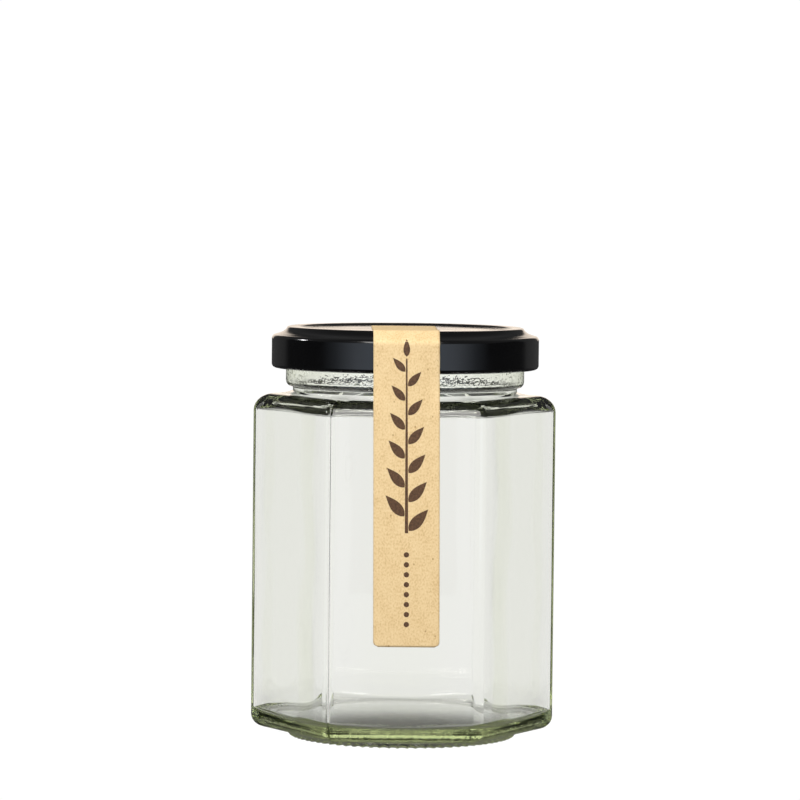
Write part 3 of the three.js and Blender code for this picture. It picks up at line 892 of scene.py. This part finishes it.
def print_tree():
    """A flat leaf sprig with a row of dots below it. X runs across the strip and Y along it."""
    tree, values = new_node_tree("leaf_print", [
        ("Geometry", "NodeSocketGeometry"), ("Stem foot", "NodeSocketFloat"),
        ("Stem length", "NodeSocketFloat"), ("Stem width", "NodeSocketFloat"),
        ("Leaf count", "NodeSocketInt"), ("Leaf length", "NodeSocketFloat"),
        ("Leaf width", "NodeSocketFloat"), ("Leaf lean", "NodeSocketFloat"),
        ("Dot count", "NodeSocketInt"), ("Dot size", "NodeSocketFloat"),
        ("Dot foot", "NodeSocketFloat"), ("Dot pitch", "NodeSocketFloat"),
        ("Material", "NodeSocketMaterial"),
    ])
    place = add_node(tree, "GeometryNodeInputPosition")
    parts = add_node(tree, "ShaderNodeSeparateXYZ", {"Vector": place}).outputs
    share = add_node(tree, "ShaderNodeMath", {0: parts["Y"], 1: 0.5}, operation="ADD")

    # One leaf on a unit square: pointed at both ends, widest below its middle
    grid = add_node(tree, "GeometryNodeMeshGrid", {"Vertices X": 7, "Vertices Y": 17})
    low = add_node(tree, "ShaderNodeMath", {0: share, 1: LEAF_BELLY}, operation="POWER")
    turn = add_node(tree, "ShaderNodeMath", {0: low, 1: math.pi}, operation="MULTIPLY")
    swell = add_node(tree, "ShaderNodeMath", {0: turn}, operation="SINE")
    breadth = add_node(tree, "ShaderNodeMath", {0: swell, 1: values["Leaf width"]}, operation="MULTIPLY")
    leaf_x = add_node(tree, "ShaderNodeMath", {0: parts["X"], 1: breadth}, operation="MULTIPLY")
    leaf_y = add_node(tree, "ShaderNodeMath", {
        0: share, 1: values["Leaf length"], 2: values["Stem width"],
    }, operation="MULTIPLY_ADD")
    leaf_place = add_node(tree, "ShaderNodeCombineXYZ", {"X": leaf_x, "Y": leaf_y})
    drawn = add_node(tree, "GeometryNodeSetPosition", {"Geometry": grid, "Position": leaf_place})
    leaf = add_node(tree, "GeometryNodeMergeByDistance", {"Geometry": drawn, "Distance": SAME_POINT})

    # Leaves up the stem, to the left and right in turn, the last one straight on
    gaps = add_node(tree, "ShaderNodeMath", {0: values["Leaf count"], 1: 1.0}, operation="SUBTRACT")
    pitch = add_node(tree, "ShaderNodeMath", {0: values["Stem length"], 1: gaps}, operation="DIVIDE")
    foot = add_node(tree, "ShaderNodeCombineXYZ", {"Y": values["Stem foot"]})
    way = add_node(tree, "ShaderNodeCombineXYZ", {"Y": pitch})
    buds = add_node(tree, "GeometryNodeMeshLine", {
        "Count": values["Leaf count"], "Start Location": foot, "Offset": way,
    })
    order = add_node(tree, "GeometryNodeInputIndex")
    odd = add_node(tree, "ShaderNodeMath", {0: order, 1: 2.0}, operation="MODULO")
    side = add_node(tree, "ShaderNodeMapRange", {"Value": odd, "To Min": -1.0, "To Max": 1.0})
    below_tip = add_node(tree, "ShaderNodeMath", {0: order, 1: gaps}, operation="LESS_THAN")
    turned_side = add_node(tree, "ShaderNodeMath", {0: side, 1: below_tip}, operation="MULTIPLY")
    lean = add_node(tree, "ShaderNodeMath", {0: turned_side, 1: values["Leaf lean"]}, operation="MULTIPLY")
    turned = add_node(tree, "ShaderNodeCombineXYZ", {"Z": lean})
    shrink = add_node(tree, "ShaderNodeMapRange", {
        "Value": order, "From Max": gaps, "To Min": 1.0, "To Max": LAST_LEAF,
    })
    leaves = add_node(tree, "GeometryNodeInstanceOnPoints", {
        "Points": buds, "Instance": leaf, "Rotation": turned, "Scale": shrink,
    })

    # The stem tapers from its foot to the last leaf
    strand = add_node(tree, "GeometryNodeMeshGrid", {"Vertices X": 3, "Vertices Y": 60})
    taper = add_node(tree, "ShaderNodeMapRange", {"Value": share, "To Min": 1.0, "To Max": STEM_TIP})
    narrowed = add_node(tree, "ShaderNodeMath", {0: parts["X"], 1: taper}, operation="MULTIPLY")
    stem_x = add_node(tree, "ShaderNodeMath", {0: narrowed, 1: values["Stem width"]}, operation="MULTIPLY")
    stem_y = add_node(tree, "ShaderNodeMath", {
        0: share, 1: values["Stem length"], 2: values["Stem foot"],
    }, operation="MULTIPLY_ADD")
    stem_place = add_node(tree, "ShaderNodeCombineXYZ", {"X": stem_x, "Y": stem_y})
    stem = add_node(tree, "GeometryNodeSetPosition", {"Geometry": strand, "Position": stem_place})

    # The row of dots
    half = add_node(tree, "ShaderNodeMath", {0: values["Dot size"], 1: 0.5}, operation="MULTIPLY")
    dot = add_node(tree, "GeometryNodeMeshCircle", {"Vertices": 16, "Radius": half}, fill_type="TRIANGLE_FAN")
    dot_foot = add_node(tree, "ShaderNodeCombineXYZ", {"Y": values["Dot foot"]})
    dot_way = add_node(tree, "ShaderNodeCombineXYZ", {"Y": values["Dot pitch"]})
    row = add_node(tree, "GeometryNodeMeshLine", {
        "Count": values["Dot count"], "Start Location": dot_foot, "Offset": dot_way,
    })
    dots = add_node(tree, "GeometryNodeInstanceOnPoints", {"Points": row, "Instance": dot})
    together = add_node(tree, "GeometryNodeJoinGeometry")
    for part in (stem, leaves, dots):
        tree.links.new(part.outputs[0], together.inputs[0])
    end_node_tree(tree, together, values["Material"])
    return tree


class JAR_OT_print(bpy.types.Operator):
    """Print the leaf sprig and its dots on the paper strip"""

    bl_idname = "jar.make_print"
    bl_label = "Leaf print"

    def execute(self, context):
        scene = context.scene
        sizes = scene.jar_strip
        material = printing_ink(sizes)
        piece = new_piece("leaf_print", [], [], material)
        run_node_tree(piece, print_tree(), {
            "Stem foot": sizes.stem_foot,
            "Stem length": sizes.stem_length,
            "Stem width": sizes.stem_width,
            "Leaf count": sizes.leaf_count,
            "Leaf length": sizes.leaf_length,
            "Leaf width": sizes.leaf_width,
            "Leaf lean": sizes.leaf_lean,
            "Dot count": sizes.dot_count,
            "Dot size": sizes.dot_size,
            "Dot foot": sizes.dot_foot,
            "Dot pitch": sizes.dot_pitch,
            "Material": material,
        })
        mesh = piece.data
        flat = np.empty(3 * len(mesh.vertices))
        mesh.vertices.foreach_get("co", flat)
        across, along, _ = flat.reshape(-1, 3).T
        path = strip_path(sizes, scene.jar_glass, scene.jar_lid)
        lift = STRIP_GAP + STRIP_PAPER + INK_GAP
        mesh.vertices.foreach_set("co", on_strip(path, sizes, across, along, lift).ravel())
        mesh.update()
        depth = piece.modifiers.new("ink_depth", "SOLIDIFY")
        depth.thickness = sizes.ink_depth
        depth.offset = 1.0
        belongs(piece, "brown_paper")
        return {"FINISHED"}


def studio_band(name, stops):
    """Colour of the studio in each direction about the jar, as a node group for the floor and the world."""
    tree = bpy.data.node_groups.new(name, "ShaderNodeTree")
    tree.interface.new_socket("Way", in_out="INPUT", socket_type="NodeSocketVector")
    tree.interface.new_socket("Color", in_out="OUTPUT", socket_type="NodeSocketColor")
    way = add_node(tree, "NodeGroupInput")
    parts = add_node(tree, "ShaderNodeSeparateXYZ", {"Vector": way}).outputs
    aside = add_node(tree, "ShaderNodeMath", {0: parts["X"]}, operation="ABSOLUTE")
    folded = add_node(tree, "ShaderNodeCombineXYZ", {"X": aside, "Y": parts["Y"]})
    turn = add_node(tree, "ShaderNodeTexGradient", {"Vector": folded}, gradient_type="RADIAL")
    band = add_node(tree, "ShaderNodeValToRGB", {"Fac": turn.outputs["Fac"]})
    set_stops(band.color_ramp, [(0.25 + angle / 360, rgb) for angle, rgb in stops])
    add_node(tree, "NodeGroupOutput", {"Color": band})
    return tree


def pale_floor(mirrored):
    """Plain pale sheet, white to the camera.

    Light through the glass finds it pale, with a soft painted shade where the jar stands on it. Light
    mirrored by the jar finds it painted dark near the jar, a painted dark reflection as if black card lay
    there.
    """
    material, tree = new_material("pale_floor")
    place = add_node(tree, "ShaderNodeTexCoord").outputs["Object"]
    rays = add_node(tree, "ShaderNodeLightPath").outputs
    away = add_node(tree, "ShaderNodeVectorMath", {0: place}, operation="LENGTH").outputs["Value"]
    clear, far = [
        add_node(tree, "ShaderNodeMapRange", {
            "Value": away, "From Min": start, "From Max": end,
        }, interpolation_type="SMOOTHSTEP")
        for start, end in (PAINTED_SHADE_REACH, MIRROR_REACH)
    ]
    studio = add_node(tree, "ShaderNodeGroup", node_tree=mirrored)
    tree.links.new(place, studio.inputs["Way"])
    # Painted shade under the jar: dark near its axis, pale past the reach
    with_painted_shade = add_node(tree, "ShaderNodeMixRGB", {
        "Fac": clear, "Color1": opaque(FLOOR_PAINTED_SHADE), "Color2": opaque(FLOOR_PALE),
    })
    # Painted dark reflection near the jar, fading out to the studio band farther away
    mirror = add_node(tree, "ShaderNodeMixRGB", {
        "Fac": far, "Color1": opaque(FLOOR_PAINTED_DARK_REFLECTION), "Color2": studio,
    })
    toned = add_node(tree, "ShaderNodeMixRGB", {
        "Fac": rays["Is Reflection Ray"], "Color1": with_painted_shade, "Color2": mirror,
    })
    tone = add_node(tree, "ShaderNodeMixRGB", {
        "Fac": rays["Is Camera Ray"], "Color1": toned, "Color2": opaque(WHITE),
    })
    glow = add_node(tree, "ShaderNodeEmission", {"Color": tone})
    add_node(tree, "ShaderNodeOutputMaterial", {"Surface": glow})
    return material


def studio_world(through, mirrored):
    """The studio round the jar: cards and flags as high as its walls, dim above, and white to the camera."""
    world = bpy.data.worlds.new("studio")
    world.use_nodes = True
    tree = world.node_tree
    tree.nodes.clear()
    way = add_node(tree, "ShaderNodeTexCoord").outputs["Generated"]
    rays = add_node(tree, "ShaderNodeLightPath").outputs
    parts = add_node(tree, "ShaderNodeSeparateXYZ", {"Vector": way}).outputs
    seen_through, seen_mirrored = [
        add_node(tree, "ShaderNodeGroup", node_tree=band) for band in (through, mirrored)
    ]
    for band in (seen_through, seen_mirrored):
        tree.links.new(way, band.inputs["Way"])
    backdrop = add_node(tree, "ShaderNodeMapRange", {
        "Value": parts["Y"], "From Min": BACKDROP_EDGE[0], "From Max": BACKDROP_EDGE[1],
    }, interpolation_type="SMOOTHSTEP")
    mirror = add_node(tree, "ShaderNodeMixRGB", {
        "Fac": backdrop, "Color1": seen_mirrored, "Color2": opaque(BACKDROP_MIRROR),
    })
    walls = add_node(tree, "ShaderNodeMixRGB", {
        "Fac": rays["Is Reflection Ray"], "Color1": seen_through, "Color2": mirror,
    })
    back_height = add_node(tree, "ShaderNodeMath", {
        0: rays["Is Reflection Ray"], 1: BACKDROP_MIRROR_HEIGHT - WALL_HEIGHT, 2: WALL_HEIGHT,
    }, operation="MULTIPLY_ADD")
    height = add_node(tree, "ShaderNodeMapRange", {
        "Value": parts["Y"], "From Min": WALL_TURN[0], "From Max": WALL_TURN[1],
        "To Min": WALL_HEIGHT, "To Max": back_height,
    })
    above = add_node(tree, "ShaderNodeMath", {0: parts["Z"], 1: height}, operation="SUBTRACT")
    overhead = add_node(tree, "ShaderNodeMapRange", {
        "Value": above, "From Min": TOP_EDGE[0], "From Max": TOP_EDGE[1],
    }, interpolation_type="SMOOTHSTEP")
    round_jar = add_node(tree, "ShaderNodeMixRGB", {
        "Fac": overhead, "Color1": walls, "Color2": opaque(TOP_DIM),
    })
    tone = add_node(tree, "ShaderNodeMixRGB", {
        "Fac": rays["Is Camera Ray"], "Color1": round_jar, "Color2": opaque(WHITE),
    })
    light = add_node(tree, "ShaderNodeBackground", {"Color": tone, "Strength": 1.0})
    add_node(tree, "ShaderNodeOutputWorld", {"Surface": light})
    return world


def add_softbox(name, place, target, size, power, tone):
    """A rectangular light at a place, turned towards a target."""
    light = bpy.data.lights.new(name, "AREA")
    light.shape = "RECTANGLE"
    light.size, light.size_y = size
    light.energy = power
    light.color = tone
    softbox = bpy.data.objects.new(name, light)
    way = Vector(target) - Vector(place)
    softbox.matrix_world = Matrix.Translation(place) @ way.to_track_quat("-Z", "Y").to_matrix().to_4x4()
    bpy.context.scene.collection.objects.link(softbox)
    return softbox


def add_camera(settings):
    """The camera at the photo's viewing angle."""
    camera = bpy.data.cameras.new("photo_camera")
    camera.lens = settings.lens
    camera.sensor_width = 36
    camera.clip_start = 0.01
    camera.clip_end = 50
    place = Vector((
        -CAMERA_DISTANCE * math.sin(CAMERA_YAW), -CAMERA_DISTANCE * math.cos(CAMERA_YAW), CAMERA_HEIGHT,
    ))
    ahead = Vector((
        math.sin(CAMERA_HEADING) * math.cos(CAMERA_PITCH),
        math.cos(CAMERA_HEADING) * math.cos(CAMERA_PITCH),
        -math.sin(CAMERA_PITCH),
    ))
    right = Vector((math.cos(CAMERA_HEADING), -math.sin(CAMERA_HEADING), 0))
    up = right.cross(ahead)
    rolled_right = math.cos(CAMERA_ROLL) * right + math.sin(CAMERA_ROLL) * up
    rolled_up = math.cos(CAMERA_ROLL) * up - math.sin(CAMERA_ROLL) * right
    piece = bpy.data.objects.new("photo_camera", camera)
    turn = Matrix((rolled_right, rolled_up, -ahead)).transposed().to_4x4()
    piece.matrix_world = Matrix.Translation(place) @ turn
    bpy.context.scene.collection.objects.link(piece)
    return piece


class JAR_OT_stage(bpy.types.Operator):
    """Make the pale floor, the studio light and the camera"""

    bl_idname = "jar.make_stage"
    bl_label = "Stage"

    def execute(self, context):
        scene = context.scene
        settings = scene.jar_stage
        through = studio_band("seen_through", SEEN_THROUGH)
        mirrored = studio_band("seen_mirrored", SEEN_MIRRORED)
        angle = np.arange(FLOOR_CORNERS) * math.tau / FLOOR_CORNERS
        edge = FLOOR_RADIUS * np.column_stack([np.cos(angle), np.sin(angle), np.zeros(FLOOR_CORNERS)])
        floor = new_piece("floor", edge.tolist(), [tuple(range(FLOOR_CORNERS))], pale_floor(mirrored))
        scene.world = studio_world(through, mirrored)
        add_softbox("key", KEY_PLACE, KEY_TARGET, KEY_SIZE, settings.key_power, KEY_TONE)
        add_softbox("spark", SPARK_PLACE, SPARK_TARGET, SPARK_SIZE, SPARK_POWER, SPARK_TONE)
        scene.camera = add_camera(settings)
        scene.view_settings.view_transform = "Standard"
        scene.cycles.max_bounces = 32
        scene.cycles.transmission_bounces = 32
        scene.cycles.glossy_bounces = 12
        scene.cycles.use_denoising = True
        return {"FINISHED"}


OPERATORS = (JAR_OT_glass, JAR_OT_lid, JAR_OT_strip, JAR_OT_print, JAR_OT_stage)
SETTINGS = {
    "jar_glass": JarGlassSettings,
    "jar_lid": JarLidSettings,
    "jar_strip": JarStripSettings,
    "jar_stage": JarStageSettings,
}


class JAR_PT_panel(bpy.types.Panel):
    """Lists the jar's pieces and their settings"""

    bl_label = "Hexagonal jar"
    bl_idname = "JAR_PT_panel"
    bl_space_type = "VIEW_3D"
    bl_region_type = "UI"
    bl_category = "Jar"

    def draw(self, context):
        for operator in OPERATORS:
            self.layout.operator(operator.bl_idname)
        for name, group in SETTINGS.items():
            box = self.layout.box()
            for field in group.__annotations__:
                box.prop(getattr(context.scene, name), field)


def register():
    for name, group in SETTINGS.items():
        bpy.utils.register_class(group)
        setattr(bpy.types.Scene, name, bpy.props.PointerProperty(type=group))
    for kind in (*OPERATORS, JAR_PT_panel):
        bpy.utils.register_class(kind)


def unregister():
    for kind in (JAR_PT_panel, *reversed(OPERATORS)):
        bpy.utils.unregister_class(kind)
    for name, group in SETTINGS.items():
        delattr(bpy.types.Scene, name)
        bpy.utils.unregister_class(group)


def main():
    register()
    bpy.ops.jar.make_glass()
    bpy.ops.jar.make_lid()
    bpy.ops.jar.make_strip()
    bpy.ops.jar.make_print()
    bpy.ops.jar.make_stage()


if __name__ == "__main__":
    main()
